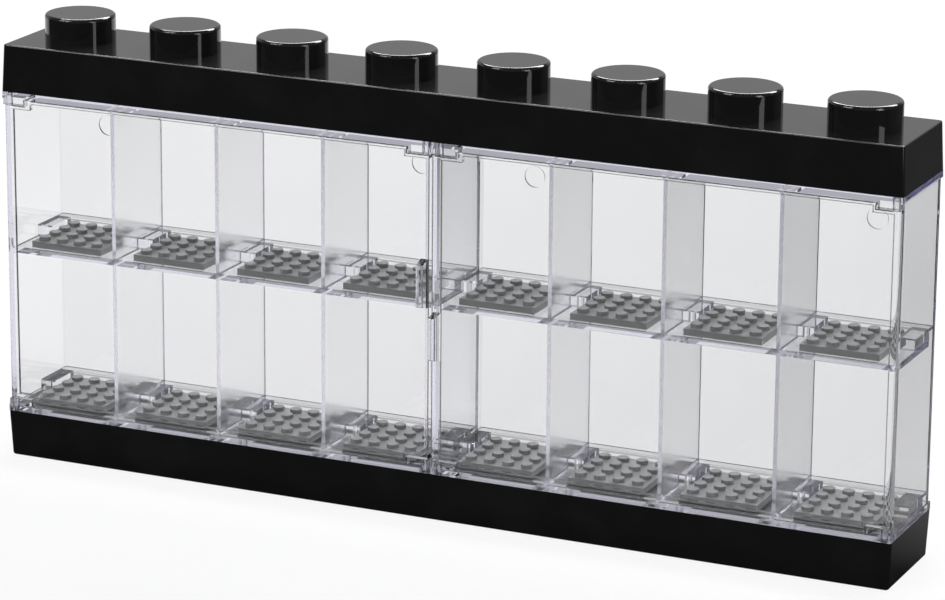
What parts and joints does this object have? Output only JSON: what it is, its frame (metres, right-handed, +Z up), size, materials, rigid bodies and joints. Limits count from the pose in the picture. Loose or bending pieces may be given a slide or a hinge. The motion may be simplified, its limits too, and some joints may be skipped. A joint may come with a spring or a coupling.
{
  "type": "minifigure display case",
  "caption": "Clear two-row display case with hinged front doors, stud plates for minifigures, a black base and a black cap with big studs for stacking.",
  "frame": {"origin": "middle of the base's underside, on the web between its sockets", "axes": "+X to the right along the row of studs, +Y to the back, +Z up"},
  "size_m": [0.382, 0.0524, 0.1837],
  "materials": {
    "black_plastic": "smooth gloss",
    "clear_plastic": "clear and polished",
    "grey_plastic": "smooth gloss"
  },
  "bodies": {
    "case": {"base": "black_plastic", "base_sockets": "black_plastic", "top_cap": "black_plastic", "housing_left": "clear_plastic", "housing_right": "clear_plastic", "stud_plate_lower_1": "grey_plastic", "stud_plate_lower_2": "grey_plastic", "stud_plate_lower_3": "grey_plastic", "stud_plate_lower_4": "grey_plastic", "stud_plate_lower_5": "grey_plastic", "stud_plate_lower_6": "grey_plastic", "stud_plate_lower_7": "grey_plastic", "stud_plate_lower_8": "grey_plastic", "stud_plate_upper_1": "grey_plastic", "stud_plate_upper_2": "grey_plastic", "stud_plate_upper_3": "grey_plastic", "stud_plate_upper_4": "grey_plastic", "stud_plate_upper_5": "grey_plastic", "stud_plate_upper_6": "grey_plastic", "stud_plate_upper_7": "grey_plastic", "stud_plate_upper_8": "grey_plastic"},
    "left_door": {"door_left": "clear_plastic"},
    "right_door": {"door_right": "clear_plastic"}
  },
  "joints": [
    {"name": "left_door_hinge", "type": "hinge", "parent": "case", "child": "left_door", "pos_m": [-0.188, -0.0212, 0.08645], "axis": [0, 0, -1], "range_deg": [0, 180]},
    {"name": "right_door_hinge", "type": "hinge", "parent": "case", "child": "right_door", "pos_m": [0.188, -0.0212, 0.08645], "axis": [0, 0, 1], "range_deg": [0, 180]}
  ]
}
